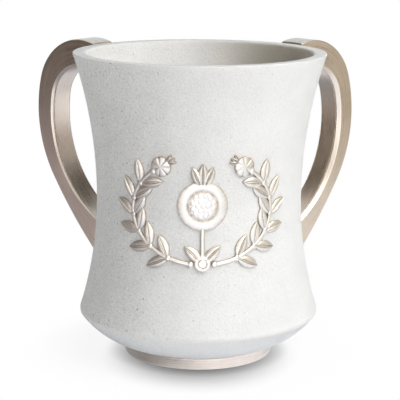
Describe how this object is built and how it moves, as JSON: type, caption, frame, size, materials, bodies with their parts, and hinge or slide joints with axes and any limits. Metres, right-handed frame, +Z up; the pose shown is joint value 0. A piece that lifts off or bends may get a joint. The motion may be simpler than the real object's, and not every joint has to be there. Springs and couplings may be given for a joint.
{
  "type": "hand washing cup",
  "caption": "Two-handled cup for ritual hand washing: waisted stone-effect body with satin metal handles, a metal foot ring and an applied leaf and fruit ornament.",
  "frame": {"origin": "on the cup's axis, at the underside of the foot pad that it rests on", "axes": "+Z up along the cup's axis, -Y towards the front that carries the ornament, +X to the viewer's right from the front; both handles are swept towards +Y"},
  "size_m": [0.1494, 0.1163, 0.1375],
  "materials": {
    "stone_body": "matte",
    "champagne_metal": "satin",
    "champagne_relief": "satin",
    "foot_pad": "matte",
    "dowel_steel": "satin"
  },
  "bodies": {
    "root": {"cup_body": "stone_body", "foot_ring": "champagne_metal", "base_pad": "foot_pad", "handle_right": "champagne_metal", "handle_pin_right_upper": "dowel_steel", "handle_pin_right_lower": "dowel_steel", "handle_left": "champagne_metal", "handle_pin_left_upper": "dowel_steel", "handle_pin_left_lower": "dowel_steel", "ornament_centre": "champagne_relief", "ornament_spray_left": "champagne_relief", "ornament_spray_right": "champagne_relief"}
  },
  "joints": []
}
